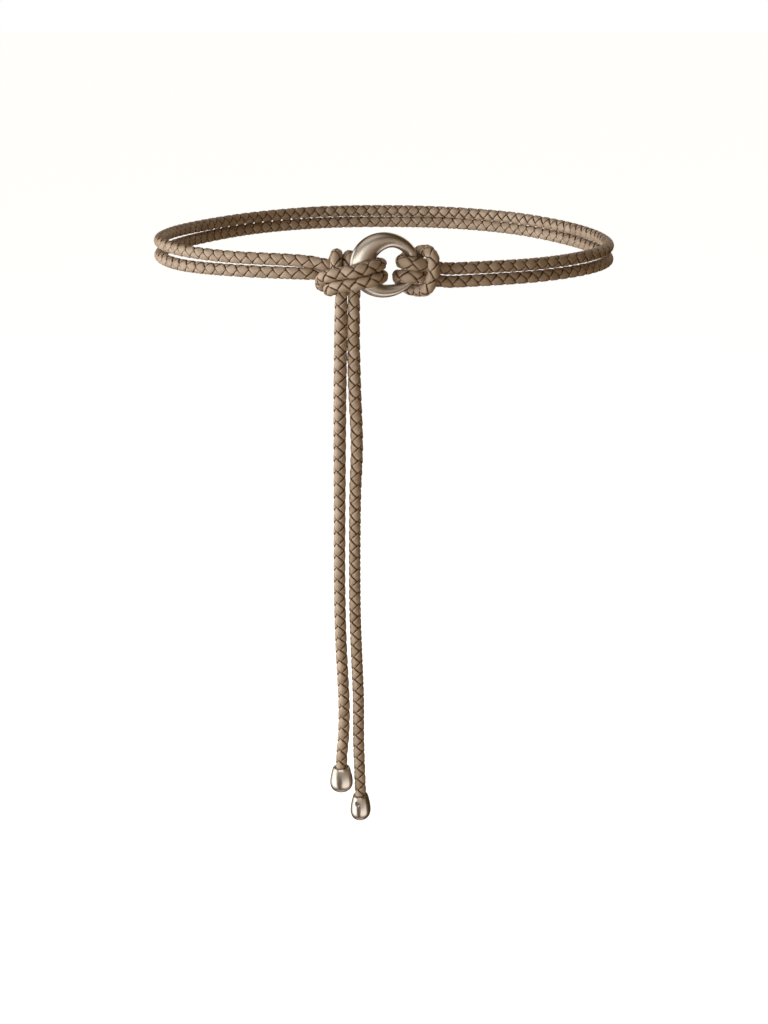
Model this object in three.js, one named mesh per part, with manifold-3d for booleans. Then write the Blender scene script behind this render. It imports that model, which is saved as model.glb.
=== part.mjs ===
// A belt of one long round-braided leather cord, folded double. The fold is hitched on the right bar of a
// satin metal ring, the cord goes round the waist as an upper and a lower strand, and its two ends are tied on
// the ring's left bar and hang down in front, each with a metal cap.
// Millimetres, +Z up. The front is towards -Y, and the origin is the middle of the space for the waist.

import * as THREE from 'three';
import { mergeVertices } from 'three/addons/utils/BufferGeometryUtils.js';
import Module from 'manifold-3d';

const wasm = await Module();
wasm.setup();

// Driving sizes of the cord and its clearances
const cordWidth = 7;
const clearance = 0.3;
const cordSides = 12;

// Driving sizes of the loop round the waist, between the middles of the cord
const waistWidth = 286;
const frontDepth = 99;
const backDepth = 144;

// Driving sizes of the ring, and where it hangs on the belt
const ringWidth = 41.7;
const ringHeight = 37.5;
const ringThickness = 6;
const ringTurn = 18;
const ringOut = 2;
const ringRise = 5.2;
const ringShift = 0.4;
const shoulder = 0.9;
const shoulderAngle = 140;

// The ring's hole, as shares of the ring's width and height
const holeWidth = 0.528 * ringWidth;
const holeHeight = 0.576 * ringHeight;
const holeAcross = 0.0935 * ringWidth;
const holeDrop = 0.016 * ringHeight;

// Driving sizes of the tails, from the tie to the rims of their caps
const leftTailLength = 305;
const rightTailLength = 325;

// Driving sizes of the caps and their grub screws
const capWidth = 14.6;
const capBreadth = 12.8;
const capHeight = 17.4;
const rimWidth = 10.4;
const socketGap = 0.5;
const socketDepth = 10.5;
const screwWidth = 2.4;
const screwLength = 1.2;
const screwDrop = 3.6;
const screwKey = 1.1;

// The way each grub screw faces, in degrees from +X towards the back
const leftFacing = 10;
const rightFacing = -110;

// The colours of the two materials
const leather = new THREE.MeshStandardMaterial({ color: 0x8f7c66, roughness: 0.62, metalness: 0 });
const satinMetal = new THREE.MeshStandardMaterial({ color: 0xb5a999, roughness: 0.32, metalness: 1 });

// The strands round the waist, a row for every 20 degrees from the right of the ring, round the back, to its
// left: height is where the pair lies, part how far the upper middle is from the lower, in cord widths.
const firstAngle = -70;
const angleStep = 20;
const run = [
  { height: -0.21, part: 1.09 },
  { height: -0.24, part: 1.07 },
  { height: -0.23, part: 1.13 },
  { height: -0.24, part: 1.19 },
  { height: -0.23, part: 1.17 },
  { height: -0.19, part: 1.14 },
  { height: -0.04, part: 1.11 },
  { height: 0.02, part: 1.09 },
  { height: 0.03, part: 1.14 },
  { height: 0.05, part: 1.14 },
  { height: -0.01, part: 1.11 },
  { height: -0.06, part: 1.17 },
  { height: 0.09, part: 1.26 },
  { height: 0.2, part: 1.33 },
  { height: 0.2, part: 1.29 },
  { height: 0.31, part: 1.14 },
  { height: 0.41, part: 1.07 },
];

// The hand-chosen points of the knots, from the ring's middle: across in half widths of the ring, out towards
// the front in layers of the knot, and up in half heights of the ring.

// The upper strand from the left: behind the ring's left bar, through the hole, back in front of the bar, down
// behind everything, up and over the belt, and down between the belt and its own front row.
const upperTie = [
  { across: -2.03, out: -1.05, up: 0.03 },
  { across: -1.56, out: -0.9, up: -0.14 },
  { across: -1.08, out: -0.85, up: -0.21 },
  { across: -0.63, out: -0.44, up: -0.14 },
  { across: -0.41, out: -0.22, up: -0.07 },
  { across: -0.29, out: 0.29, up: 0 },
  { across: -0.27, out: 0.96, up: 0.04 },
  { across: -0.39, out: 1.54, up: 0.02 },
  { across: -0.54, out: 1.62, up: -0.03 },
  { across: -0.84, out: 1.47, up: -0.11 },
  { across: -1.18, out: 1.32, up: -0.17 },
  { across: -1.48, out: 1.18, up: -0.22 },
  { across: -1.66, out: 0.81, up: -0.31 },
  { across: -1.73, out: 0.15, up: -0.45 },
  { across: -1.7, out: -1, up: -0.6 },
  { across: -1.61, out: -2.1, up: -0.56 },
  { across: -1.52, out: -2.5, up: -0.34 },
  { across: -1.38, out: -2.1, up: 0.02 },
  { across: -1.33, out: -1, up: 0.26 },
  { across: -1.37, out: 0.07, up: 0.1 },
  { across: -1.38, out: 0.22, up: -0.14 },
  { across: -1.29, out: 0.22, up: -0.55 },
  { across: -1.23, out: 0.15, up: -0.93 },
];

// The lower strand from the left, beside the upper one all the way.
const lowerTie = [
  { across: -2.04, out: -1.2, up: -0.34 },
  { across: -1.56, out: -1.6, up: -0.44 },
  { across: -1.08, out: -1.6, up: -0.5 },
  { across: -0.63, out: -0.85, up: -0.5 },
  { across: -0.41, out: -0.25, up: -0.43 },
  { across: -0.25, out: 0.29, up: -0.35 },
  { across: -0.23, out: 0.96, up: -0.32 },
  { across: -0.35, out: 1.54, up: -0.34 },
  { across: -0.5, out: 1.62, up: -0.4 },
  { across: -0.82, out: 1.47, up: -0.47 },
  { across: -1.15, out: 1.32, up: -0.51 },
  { across: -1.38, out: 1.1, up: -0.55 },
  { across: -1.47, out: 0.44, up: -0.59 },
  { across: -1.45, out: -0.7, up: -0.72 },
  { across: -1.37, out: -2.05, up: -0.68 },
  { across: -1.25, out: -2.5, up: -0.36 },
  { across: -1.06, out: -2.1, up: 0.02 },
  { across: -0.98, out: -1, up: 0.26 },
  { across: -1, out: 0.07, up: 0.12 },
  { across: -1.02, out: 0.15, up: -0.15 },
  { across: -0.94, out: 0.15, up: -0.55 },
  { across: -0.88, out: 0.15, up: -0.93 },
];

// The fold on the right: the upper strand comes in front of the ring's right bar, turns back through the hole,
// passes behind the bar, crosses in front of both strands and goes back the same way into the lower strand.
const hitch = [
  { across: 1.71, out: -0.81, up: -0.16 },
  { across: 1.32, out: -0.37, up: -0.13 },
  { across: 0.98, out: 0.07, up: 0.01 },
  { across: 0.7, out: 0.22, up: 0.09 },
  { across: 0.53, out: -0.07, up: 0.1 },
  { across: 0.48, out: -0.81, up: 0.11 },
  { across: 0.57, out: -1.62, up: 0.13 },
  { across: 0.77, out: -1.99, up: 0.21 },
  { across: 0.99, out: -1.84, up: 0.31 },
  { across: 1.15, out: -1.03, up: 0.43 },
  { across: 1.28, out: 0, up: 0.4 },
  { across: 1.36, out: 0.59, up: 0.22 },
  { across: 1.39, out: 0.74, up: -0.04 },
  { across: 1.35, out: 0.74, up: -0.32 },
  { across: 1.25, out: 0.51, up: -0.57 },
  { across: 1.1, out: -0.22, up: -0.75 },
  { across: 0.95, out: -1.25, up: -0.88 },
  { across: 0.77, out: -1.91, up: -0.88 },
  { across: 0.55, out: -1.91, up: -0.78 },
  { across: 0.44, out: -1.47, up: -0.6 },
  { across: 0.41, out: -0.74, up: -0.47 },
  { across: 0.45, out: -0.07, up: -0.39 },
  { across: 0.54, out: 0.22, up: -0.34 },
  { across: 0.82, out: 0.12, up: -0.34 },
  { across: 1.12, out: -0.15, up: -0.38 },
  { across: 1.46, out: -0.44, up: -0.5 },
  { across: 1.72, out: -0.81, up: -0.57 },
];

// The tails below the tie: down in shares of the tail's length, aside in cord widths.
const leftTail = [
  { down: 0.08, aside: -0.03 },
  { down: 0.21, aside: -0.14 },
  { down: 0.41, aside: -0.24 },
  { down: 0.61, aside: -0.31 },
  { down: 0.72, aside: -0.23 },
  { down: 0.79, aside: -0.11 },
  { down: 0.86, aside: -0.01 },
  { down: 0.93, aside: -0.09 },
  { down: 0.97, aside: -0.25 },
  { down: 1, aside: -0.3 },
];
const rightTail = [
  { down: 0.08, aside: 0 },
  { down: 0.17, aside: 0.08 },
  { down: 0.28, aside: 0.24 },
  { down: 0.37, aside: 0.08 },
  { down: 0.49, aside: 0 },
  { down: 0.61, aside: 0 },
  { down: 0.7, aside: 0.12 },
  { down: 0.79, aside: 0.25 },
  { down: 0.88, aside: 0.25 },
  { down: 0.95, aside: 0.33 },
  { down: 1, aside: 0.4 },
];

// Frames that follow from the driving sizes
const widestLine = (frontDepth - backDepth) / 2;
const ringMiddle = new THREE.Vector3(ringShift, widestLine - frontDepth - ringOut, ringRise);
const turn = THREE.MathUtils.degToRad(ringTurn);
const layer = (ringThickness + cordWidth) / 2 + clearance;

// The ring

// A superellipse of this power is the section of the ring's bar, flatter at the back than at the front. The
// outline is an oval with one fuller shoulder.
const barPower = 2.3;
const backShare = 0.8;
const shoulderPower = 4;
const topPower = 1.8;
const footPower = 2.6;
const ringSteps = 48;
const barSteps = 16;

// Distance from the hole's middle to the ring's outer edge, along a ray at an angle.
function outerReach(angle) {
  const along = Math.cos(angle);
  const upright = Math.sin(angle);
  const a = (2 / ringWidth) ** 2;
  const b = (2 / ringHeight) ** 2;
  const square = a * along ** 2 + b * upright ** 2;
  const half = a * along * holeAcross - b * upright * holeDrop;
  const inside = 1 - a * holeAcross ** 2 - b * holeDrop ** 2;
  const oval = (Math.sqrt(half ** 2 + square * inside) - half) / square;
  const aside = Math.cos(angle - THREE.MathUtils.degToRad(shoulderAngle));
  return oval + shoulder * Math.max(0, aside) ** shoulderPower;
}

function ringPoint(angle, round) {
  const power = Math.sin(angle) > 0 ? topPower : footPower;
  const wide = Math.abs(Math.cos(angle)) * 2 / holeWidth;
  const high = Math.abs(Math.sin(angle)) * 2 / holeHeight;
  const inner = (wide ** power + high ** power) ** (-1 / power);
  const outer = outerReach(angle);
  const side = Math.sign(Math.cos(round)) * Math.abs(Math.cos(round)) ** (2 / barPower);
  const face = Math.sign(Math.sin(round)) * Math.abs(Math.sin(round)) ** (2 / barPower);
  const reach = (inner + outer) / 2 + side * (outer - inner) / 2;
  const out = face * ringThickness / 2 * (face < 0 ? backShare : 1);
  const local = new THREE.Vector3(holeAcross + reach * Math.cos(angle), -out, reach * Math.sin(angle) - holeDrop);
  return local.applyAxisAngle(new THREE.Vector3(0, 0, 1), turn).add(ringMiddle);
}

function ringGeometry() {
  const geometry = new THREE.TorusGeometry(ringWidth / 2, ringThickness / 2, barSteps, ringSteps);
  const place = geometry.attributes.position;
  for (let i = 0; i < place.count; i += 1) {
    const step = i % (ringSteps + 1) % ringSteps;
    const side = Math.floor(i / (ringSteps + 1)) % barSteps;
    const point = ringPoint(2 * Math.PI * step / ringSteps, 2 * Math.PI * side / barSteps);
    place.setXYZ(i, point.x, point.y, point.z);
  }
  return geometry;
}

// Points all over the ring, closer together than the corners of its mesh, that the cord is kept off.
const skinShare = 1.5;
function ringSkin() {
  const points = [];
  const around = ringSteps * skinShare;
  const across = barSteps * skinShare;
  for (let i = 0; i < around; i += 1) {
    for (let j = 0; j < across; j += 1) {
      points.push(ringPoint(2 * Math.PI * i / around, 2 * Math.PI * j / across));
    }
  }
  return points;
}

// The cord's route

function knotPoints(rows) {
  return rows.map((row) => new THREE.Vector3(
    row.across * ringWidth / 2,
    -row.out * layer,
    row.up * ringHeight / 2,
  ).add(ringMiddle));
}

function waistPoints(side) {
  return run.map((row, index) => {
    const angle = THREE.MathUtils.degToRad(firstAngle + angleStep * index);
    const depth = Math.sin(angle) < 0 ? frontDepth : backDepth;
    return new THREE.Vector3(
      waistWidth / 2 * Math.cos(angle),
      widestLine + depth * Math.sin(angle),
      (row.height + side * row.part / 2) * cordWidth,
    );
  });
}

function tailPoints(top, rows, length) {
  const points = rows.map((row) => new THREE.Vector3(
    top.x + row.aside * cordWidth,
    top.y,
    top.z - row.down * length,
  ));
  const rim = points[points.length - 1];
  points.push(new THREE.Vector3(rim.x, rim.y, rim.z - socketDepth + clearance));
  return points;
}

// Points at an even step along a smooth line through the chosen ones.
const step = 2;
const lengthSteps = 40;
function evenly(points) {
  const line = new THREE.CatmullRomCurve3(points, false, 'centripetal');
  line.arcLengthDivisions = points.length * lengthSteps;
  const count = Math.round(line.getLength() / step);
  return line.getSpacedPoints(count);
}

// Pulls the knots tight: each free point of the route is drawn to the middle of its neighbours and to its
// chosen place, and pushed off the ring and off every other stretch of the cord. The last rounds draw gently.
const rounds = 240;
const gentleAfter = 0.75;
const gentleShare = 0.2;
const smoothing = 0.35;
const hold = 0.05;
const pushing = 0.5;
const besideWidths = 1.6;
const cordSlack = 0.12;
const ringSlack = 0.2;
function settle(route, loose, near, skin) {
  const apart = cordWidth + clearance + cordSlack;
  const offRing = cordWidth / 2 + clearance + ringSlack;
  const beside = Math.ceil(besideWidths * cordWidth / step);
  const chosen = route.map((point) => point.clone());
  const push = route.map(() => new THREE.Vector3());
  const gap = new THREE.Vector3();
  for (let round = 0; round < rounds; round += 1) {
    const ease = round < rounds * gentleAfter ? 1 : gentleShare;
    const before = route.map((point) => point.clone());
    loose.forEach((i) => {
      gap.addVectors(before[i - 1], before[i + 1]).multiplyScalar(0.5).sub(before[i]);
      route[i].addScaledVector(gap, smoothing * ease);
      route[i].addScaledVector(gap.subVectors(chosen[i], before[i]), hold * ease);
    });
    push.forEach((move) => move.set(0, 0, 0));
    near.forEach((i, place) => {
      for (let other = place + 1; other < near.length; other += 1) {
        const j = near[other];
        gap.subVectors(route[i], route[j]);
        const far = gap.length();
        if (far < apart && j - i > beside) {
          push[i].addScaledVector(gap, (apart - far) / far);
          push[j].addScaledVector(gap, (far - apart) / far);
        }
      }
      skin.forEach((point) => {
        gap.subVectors(route[i], point);
        const far = gap.length();
        if (far < offRing) {
          push[i].addScaledVector(gap, (offRing - far) / far);
        }
      });
    });
    loose.forEach((i) => route[i].addScaledVector(push[i], pushing));
  }
}

const upperWaist = waistPoints(1);
const lowerWaist = waistPoints(-1);
const upperKnot = knotPoints(upperTie);
const lowerKnot = knotPoints(lowerTie);
const leftEnd = tailPoints(upperKnot[upperKnot.length - 1], leftTail, leftTailLength);
const rightEnd = tailPoints(lowerKnot[lowerKnot.length - 1], rightTail, rightTailLength);
const route = evenly([
  ...leftEnd.reverse(),
  ...upperKnot.reverse(),
  ...upperWaist.reverse(),
  ...knotPoints(hitch),
  ...lowerWaist,
  ...lowerKnot,
  ...rightEnd,
]);

// The stretches that may move lie in front, this far to each side and down, in half widths and half heights of
// the ring. Those a little further away, by these factors, still keep them off.
const knotAside = 2.9;
const knotDown = 1.9;
const nearAside = 1.25;
const nearDown = 1.5;
const frontShare = 0.75;
function stretchesWithin(aside, down) {
  const indices = [];
  route.forEach((point, index) => {
    const inFront = point.y < -frontDepth * frontShare;
    if (inFront && Math.abs(point.x) < aside * ringWidth / 2 && point.z > -down * ringHeight / 2) {
      indices.push(index);
    }
  });
  return indices;
}
const looseKnots = stretchesWithin(knotAside, knotDown);
const nearKnots = stretchesWithin(knotAside * nearAside, knotDown * nearDown);
settle(route, looseKnots, nearKnots, ringSkin());

// The cord's pieces

// Where the cord is cut into its hanging tails, hidden behind the tie's front rows, in half heights of the ring.
const cutDrop = 0.75;
const cutHeight = ringRise - cutDrop * ringHeight / 2;
const leftCut = route.findIndex((point) => point.z > cutHeight);
const rightCut = route.length - 1 - route.slice().reverse().findIndex((point) => point.z > cutHeight);

// A line through chosen stations of the route, so that a tube has its sections where the cord bends.
class StationLine extends THREE.Curve {
  constructor(points) {
    super();
    this.line = new THREE.CatmullRomCurve3(points, false, 'centripetal');
  }
  getPoint(share, target) {
    return this.line.getPoint(share, target);
  }
  getUtoTmapping(share) {
    return share;
  }
}

// Stations of a stretch: one wherever the cord has turned by this angle or run this far.
const stationTurn = 20;
function stations(points, farthest) {
  const last = points.length - 1;
  const kept = [points[0], points[1]];
  let turned = 0;
  let length = 0;
  for (let i = 2; i < last - 2; i += 1) {
    const into = points[i].clone().sub(points[i - 1]);
    const onward = points[i + 1].clone().sub(points[i]);
    turned += THREE.MathUtils.radToDeg(into.angleTo(onward));
    length += into.length();
    if (turned > stationTurn || length >= farthest) {
      kept.push(points[i]);
      turned = 0;
      length = 0;
    }
  }
  kept.push(points[last - 1], points[last]);
  return kept;
}

// The two first points of a stretch that starts at a cut: its end face stands square to the cord there, half
// the clearance from the cut, so that the faces on both sides of a cut are parallel.
function fromCut(cut, way) {
  const along = route[cut + way].clone().sub(route[cut - way]).normalize();
  const face = route[cut].clone().addScaledVector(along, clearance / 2);
  return [face, face.clone().addScaledVector(along, step)];
}

function cordTube(points, farthest) {
  const kept = stations(points, farthest);
  const corners = [];
  for (let i = 0; i < cordSides; i += 1) {
    const angle = 2 * Math.PI * i / cordSides;
    corners.push(new THREE.Vector2(Math.cos(angle), Math.sin(angle)).multiplyScalar(cordWidth / 2));
  }
  return new THREE.ExtrudeGeometry(new THREE.Shape(corners), {
    steps: kept.length - 1,
    extrudePath: new StationLine(kept),
    bevelEnabled: false,
  });
}

const waistStation = 2.2 * cordWidth;
const tailStation = 2.5 * cordWidth;
const pieces = new THREE.Group();
function add(name, geometry, material) {
  const mesh = new THREE.Mesh(geometry, material);
  mesh.name = name;
  pieces.add(mesh);
  return mesh;
}

const waistStretch = [
  ...fromCut(leftCut, 1),
  ...route.slice(leftCut + 2, rightCut - 1),
  ...fromCut(rightCut, -1).reverse(),
];
const leftStretch = [...fromCut(leftCut, -1), ...route.slice(0, leftCut - 1).reverse()];
const rightStretch = [...fromCut(rightCut, 1), ...route.slice(rightCut + 2)];
add('ring', ringGeometry(), satinMetal);
add('waist_cord', cordTube(waistStretch, waistStation), leather);
add('tail_left', cordTube(leftStretch, tailStation), leather);
add('tail_right', cordTube(rightStretch, tailStation), leather);

// The caps

// A solid for cutting, from a closed geometry.
const mergeDistance = 1e-4;
function solid(geometry) {
  const bare = new THREE.BufferGeometry();
  bare.setAttribute('position', geometry.attributes.position.clone());
  if (geometry.index) {
    bare.setIndex(geometry.index.clone());
  }
  const merged = mergeVertices(bare, mergeDistance);
  const mesh = new wasm.Mesh({
    numProp: 3,
    vertProperties: merged.attributes.position.array,
    triVerts: new Uint32Array(merged.index.array),
  });
  return new wasm.Manifold(mesh);
}

function geometryOf(manifold) {
  const mesh = manifold.getMesh();
  const geometry = new THREE.BufferGeometry();
  geometry.setAttribute('position', new THREE.Float32BufferAttribute(mesh.vertProperties, 3));
  geometry.setIndex(new THREE.BufferAttribute(mesh.triVerts, 1));
  return geometry;
}

const widestDrop = 0.6;
const sidePower = 1.6;
const bottomPower = 2.4;
const capRows = 6;
const capSides = 24;
const keySides = 6;
const socketRadius = cordWidth / 2 + socketGap;

// The cap's outer radius at a share of its height below the rim, and its widest radius given.
function capRadius(drop, widest) {
  if (drop < widestDrop) {
    return widest - (widest - rimWidth / 2) * ((widestDrop - drop) / widestDrop) ** sidePower;
  }
  const low = (drop - widestDrop) / (1 - widestDrop);
  return widest * Math.max(0, 1 - low ** bottomPower) ** (1 / bottomPower);
}

// An egg with its rim up at the origin, wider from side to side than from front to back, and a round socket.
function capBody() {
  const profile = [new THREE.Vector2(0, -capHeight)];
  for (let row = 1; row <= 2 * capRows; row += 1) {
    const share = row / (2 * capRows);
    const drop = share < 0.5
      ? 1 - (1 - widestDrop) * (1 - Math.cos(Math.PI * share))
      : widestDrop * (2 - 2 * share);
    profile.push(new THREE.Vector2(capRadius(drop, capWidth / 2), -drop * capHeight));
  }
  profile.push(new THREE.Vector2(socketRadius, 0));
  profile.push(new THREE.Vector2(socketRadius, -socketDepth));
  profile.push(new THREE.Vector2(0, -socketDepth));
  const geometry = new THREE.LatheGeometry(profile, capSides);
  const place = geometry.attributes.position;
  for (let i = 0; i < place.count; i += 1) {
    const radius = Math.hypot(place.getX(i), place.getZ(i));
    const outside = radius > rimWidth / 2 - clearance || place.getY(i) < -socketDepth - clearance;
    place.setZ(i, place.getZ(i) * (outside ? capBreadth / capWidth : 1));
  }
  geometry.rotateX(Math.PI / 2);
  return geometry;
}

function alongX(radius, length, sides) {
  const rod = new THREE.CylinderGeometry(radius, radius, length, sides);
  rod.rotateZ(Math.PI / 2);
  return rod;
}

// The cap, its grub screw's hole bored from the +X side, and the screw in it with its key's hollow.
function addCap(side, rim, facing) {
  const bore = alongX(screwWidth / 2 + clearance, capWidth, capSides / 2);
  bore.translate(capWidth / 2, 0, -screwDrop);
  const cap = geometryOf(solid(capBody()).subtract(solid(bore)));
  const screw = alongX(screwWidth / 2, screwLength, capSides / 2);
  screw.translate(socketRadius + screwLength / 2, 0, -screwDrop);
  const key = alongX(screwKey / 2, screwLength, keySides);
  key.translate(socketRadius + screwLength, 0, -screwDrop);
  const grub = geometryOf(solid(screw).subtract(solid(key)));
  for (const [name, geometry] of [[`tip_${side}`, cap], [`tip_screw_${side}`, grub]]) {
    geometry.rotateZ(THREE.MathUtils.degToRad(facing));
    geometry.translate(rim.x, rim.y, rim.z);
    add(name, geometry, satinMetal);
  }
}

const rimAbove = (end) => new THREE.Vector3(end.x, end.y, end.z + socketDepth - clearance);
addCap('left', rimAbove(route[0]), leftFacing);
addCap('right', rimAbove(route[route.length - 1]), rightFacing);

export default pieces;
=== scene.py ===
# %% [markdown]
# # A woven belt
# The real belt is one long cord, braided round from four leather laces. It is folded double: the fold is
# hitched on a satin metal ring, the two strands go round the waist, and the two ends are tied on the ring
# and hang down, each in a metal cap. The CAD model holds the ring, the plain cord and the caps at their
# real size. This script gives them their looks: the braid itself, smooth metal, and a pale studio.
# Everything is in metres, in the CAD frame, with the front of the belt towards -Y.

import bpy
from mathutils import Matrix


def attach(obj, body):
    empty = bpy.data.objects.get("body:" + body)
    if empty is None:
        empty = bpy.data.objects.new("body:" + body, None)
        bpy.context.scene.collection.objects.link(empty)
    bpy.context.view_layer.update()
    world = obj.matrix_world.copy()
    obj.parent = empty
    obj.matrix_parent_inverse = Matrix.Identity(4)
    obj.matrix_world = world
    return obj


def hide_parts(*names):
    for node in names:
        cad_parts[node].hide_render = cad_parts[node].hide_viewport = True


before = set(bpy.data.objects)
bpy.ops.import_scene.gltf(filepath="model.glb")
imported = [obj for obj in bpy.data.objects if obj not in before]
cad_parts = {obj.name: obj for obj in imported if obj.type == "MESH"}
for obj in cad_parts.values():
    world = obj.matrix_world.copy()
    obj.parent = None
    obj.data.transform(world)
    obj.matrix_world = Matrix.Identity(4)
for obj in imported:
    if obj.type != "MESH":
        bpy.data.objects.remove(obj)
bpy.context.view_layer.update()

import math

import bmesh
import bpy
import numpy as np
from mathutils import Vector

print("CAD nodes:", sorted(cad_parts))

# %% [markdown]
# The camera stands a metre in front of the belt, a little above it, and looks down. Its lens comes from the
# picture's height in pixels and the focal length that the belt's perspective gives.

# %% Camera
picture_height = 1024
focal_pixels = 1586
sensor = 36
camera_place = (0, -1.0405, 0.158)
camera_pitch = 18.3

camera_data = bpy.data.cameras.new("camera")
camera_data.sensor_width = sensor
camera_data.lens = focal_pixels / picture_height * sensor
camera = bpy.data.objects.new("camera", camera_data)
camera.location = camera_place
camera.rotation_euler = (math.radians(90 - camera_pitch), 0, 0)
bpy.context.scene.collection.objects.link(camera)
bpy.context.scene.camera = camera
print("Lens:", round(camera_data.lens, 2), "mm")

# %% [markdown]
# The cord's route is the one that the CAD part follows, so its chosen points are repeated here. They are
# shares of the sizes that they belong to, as in the part's source, with the sizes in metres.

# %% Sizes of the cord, the loop and the ring
cord_width = 0.007
clearance = 0.0003
waist_width = 0.286
front_depth = 0.099
back_depth = 0.144
ring_width = 0.0417
ring_height = 0.0375
ring_thickness = 0.006
hole_width = 0.528 * ring_width
hole_height = 0.576 * ring_height
hole_across = 0.0935 * ring_width
hole_drop = 0.016 * ring_height
ring_turn = math.radians(18)
ring_out = 0.002
ring_rise = 0.0052
ring_shift = 0.0004
shoulder = 0.0009
shoulder_angle = math.radians(140)
left_tail_length = 0.305
right_tail_length = 0.325
socket_depth = 0.0105

widest_line = (front_depth - back_depth) / 2
ring_middle = np.array([ring_shift, widest_line - front_depth - ring_out, ring_rise])
layer = (ring_thickness + cord_width) / 2 + clearance
print("Ring middle:", np.round(ring_middle, 4))

# %% [markdown]
# Round the waist the two strands lie one above the other. Each row below is 20 degrees further, from the
# right of the ring, round the back, to its left: the height of the pair, and how far apart the strands are,
# in cord widths.

# %% The strands round the waist
first_angle = -70
angle_step = 20
run = [
    # height, part
    (-0.21, 1.09),
    (-0.24, 1.07),
    (-0.23, 1.13),
    (-0.24, 1.19),
    (-0.23, 1.17),
    (-0.19, 1.14),
    (-0.04, 1.11),
    (0.02, 1.09),
    (0.03, 1.14),
    (0.05, 1.14),
    (-0.01, 1.11),
    (-0.06, 1.17),
    (0.09, 1.26),
    (0.2, 1.33),
    (0.2, 1.29),
    (0.31, 1.14),
    (0.41, 1.07),
]


def waist_points(side):
    points = []
    for index, (height, part) in enumerate(run):
        angle = math.radians(first_angle + angle_step * index)
        depth = front_depth if math.sin(angle) < 0 else back_depth
        points.append((
            waist_width / 2 * math.cos(angle),
            widest_line + depth * math.sin(angle),
            (height + side * part / 2) * cord_width,
        ))
    return points


print("Points on each strand round the waist:", len(run))

# %% [markdown]
# The knots are the belt's clasp. Their points are counted from the ring's middle: across in half widths of
# the ring, out towards the front in layers of the knot, and up in half heights of the ring. The upper
# strand goes behind the ring's left bar, through the hole, back in front of the bar, down behind
# everything, up and over the belt, and down behind its own front row. The lower strand lies beside it all
# the way.

# %% The tie on the left and the hitch on the right
upper_tie = [
    # across, out, up
    (-2.03, -1.05, 0.03),
    (-1.56, -0.9, -0.14),
    (-1.08, -0.85, -0.21),
    (-0.63, -0.44, -0.14),
    (-0.41, -0.22, -0.07),
    (-0.29, 0.29, 0),
    (-0.27, 0.96, 0.04),
    (-0.39, 1.54, 0.02),
    (-0.54, 1.62, -0.03),
    (-0.84, 1.47, -0.11),
    (-1.18, 1.32, -0.17),
    (-1.48, 1.18, -0.22),
    (-1.66, 0.81, -0.31),
    (-1.73, 0.15, -0.45),
    (-1.7, -1, -0.6),
    (-1.61, -2.1, -0.56),
    (-1.52, -2.5, -0.34),
    (-1.38, -2.1, 0.02),
    (-1.33, -1, 0.26),
    (-1.37, 0.07, 0.1),
    (-1.38, 0.22, -0.14),
    (-1.29, 0.22, -0.55),
    (-1.23, 0.15, -0.93),
]
lower_tie = [
    (-2.04, -1.2, -0.34),
    (-1.56, -1.6, -0.44),
    (-1.08, -1.6, -0.5),
    (-0.63, -0.85, -0.5),
    (-0.41, -0.25, -0.43),
    (-0.25, 0.29, -0.35),
    (-0.23, 0.96, -0.32),
    (-0.35, 1.54, -0.34),
    (-0.5, 1.62, -0.4),
    (-0.82, 1.47, -0.47),
    (-1.15, 1.32, -0.51),
    (-1.38, 1.1, -0.55),
    (-1.47, 0.44, -0.59),
    (-1.45, -0.7, -0.72),
    (-1.37, -2.05, -0.68),
    (-1.25, -2.5, -0.36),
    (-1.06, -2.1, 0.02),
    (-0.98, -1, 0.26),
    (-1, 0.07, 0.12),
    (-1.02, 0.15, -0.15),
    (-0.94, 0.15, -0.55),
    (-0.88, 0.15, -0.93),
]
hitch = [
    (1.71, -0.81, -0.16),
    (1.32, -0.37, -0.13),
    (0.98, 0.07, 0.01),
    (0.7, 0.22, 0.09),
    (0.53, -0.07, 0.1),
    (0.48, -0.81, 0.11),
    (0.57, -1.62, 0.13),
    (0.77, -1.99, 0.21),
    (0.99, -1.84, 0.31),
    (1.15, -1.03, 0.43),
    (1.28, 0, 0.4),
    (1.36, 0.59, 0.22),
    (1.39, 0.74, -0.04),
    (1.35, 0.74, -0.32),
    (1.25, 0.51, -0.57),
    (1.1, -0.22, -0.75),
    (0.95, -1.25, -0.88),
    (0.77, -1.91, -0.88),
    (0.55, -1.91, -0.78),
    (0.44, -1.47, -0.6),
    (0.41, -0.74, -0.47),
    (0.45, -0.07, -0.39),
    (0.54, 0.22, -0.34),
    (0.82, 0.12, -0.34),
    (1.12, -0.15, -0.38),
    (1.46, -0.44, -0.5),
    (1.72, -0.81, -0.57),
]


def knot_points(rows):
    steps = np.array([ring_width / 2, -layer, ring_height / 2])
    return [tuple(ring_middle + np.array(row) * steps) for row in rows]


print("Points in the knots:", len(upper_tie), len(lower_tie), len(hitch))

# %% [markdown]
# The two ends hang down from the tie under their own weight, with the slight waves that a stiff braid
# keeps. Each row is how far down, as a share of the tail's length, and how far aside, in cord widths.

# %% The hanging tails
left_tail = [
    # down, aside
    (0.08, -0.03),
    (0.21, -0.14),
    (0.41, -0.24),
    (0.61, -0.31),
    (0.72, -0.23),
    (0.79, -0.11),
    (0.86, -0.01),
    (0.93, -0.09),
    (0.97, -0.25),
    (1, -0.3),
]
right_tail = [
    (0.08, 0),
    (0.17, 0.08),
    (0.28, 0.24),
    (0.37, 0.08),
    (0.49, 0),
    (0.61, 0),
    (0.7, 0.12),
    (0.79, 0.25),
    (0.88, 0.25),
    (0.95, 0.33),
    (1, 0.4),
]


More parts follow.
